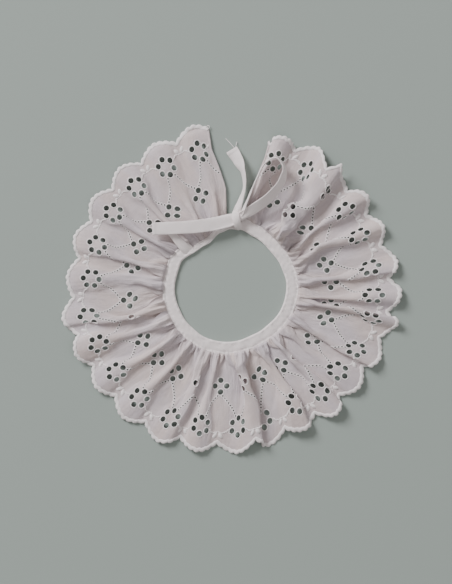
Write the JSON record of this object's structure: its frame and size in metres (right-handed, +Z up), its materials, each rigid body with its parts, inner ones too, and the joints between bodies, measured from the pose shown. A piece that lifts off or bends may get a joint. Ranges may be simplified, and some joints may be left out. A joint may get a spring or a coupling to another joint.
{
  "type": "embroidered collar",
  "caption": "Gathered ruffle collar of white eyelet embroidery on a tape neckband, laid flat and tied in a half bow.",
  "frame": {"origin": "middle of the collar's footprint, on the surface it lies on", "axes": "+Z up from the surface, +Y towards the tied front opening, +X to the side of the bow's loop"},
  "size_m": [0.2872, 0.2786, 0.0203],
  "materials": {
    "trim": "white cotton lawn with raised white embroidery",
    "tape": "folded white cotton tape, soft matte"
  },
  "bodies": {
    "root": {"ruffle": "trim", "neckband": "tape", "knot": "tape", "tie_left": "tape", "tie_up": "tape", "bow_loop": "tape"}
  },
  "joints": []
}
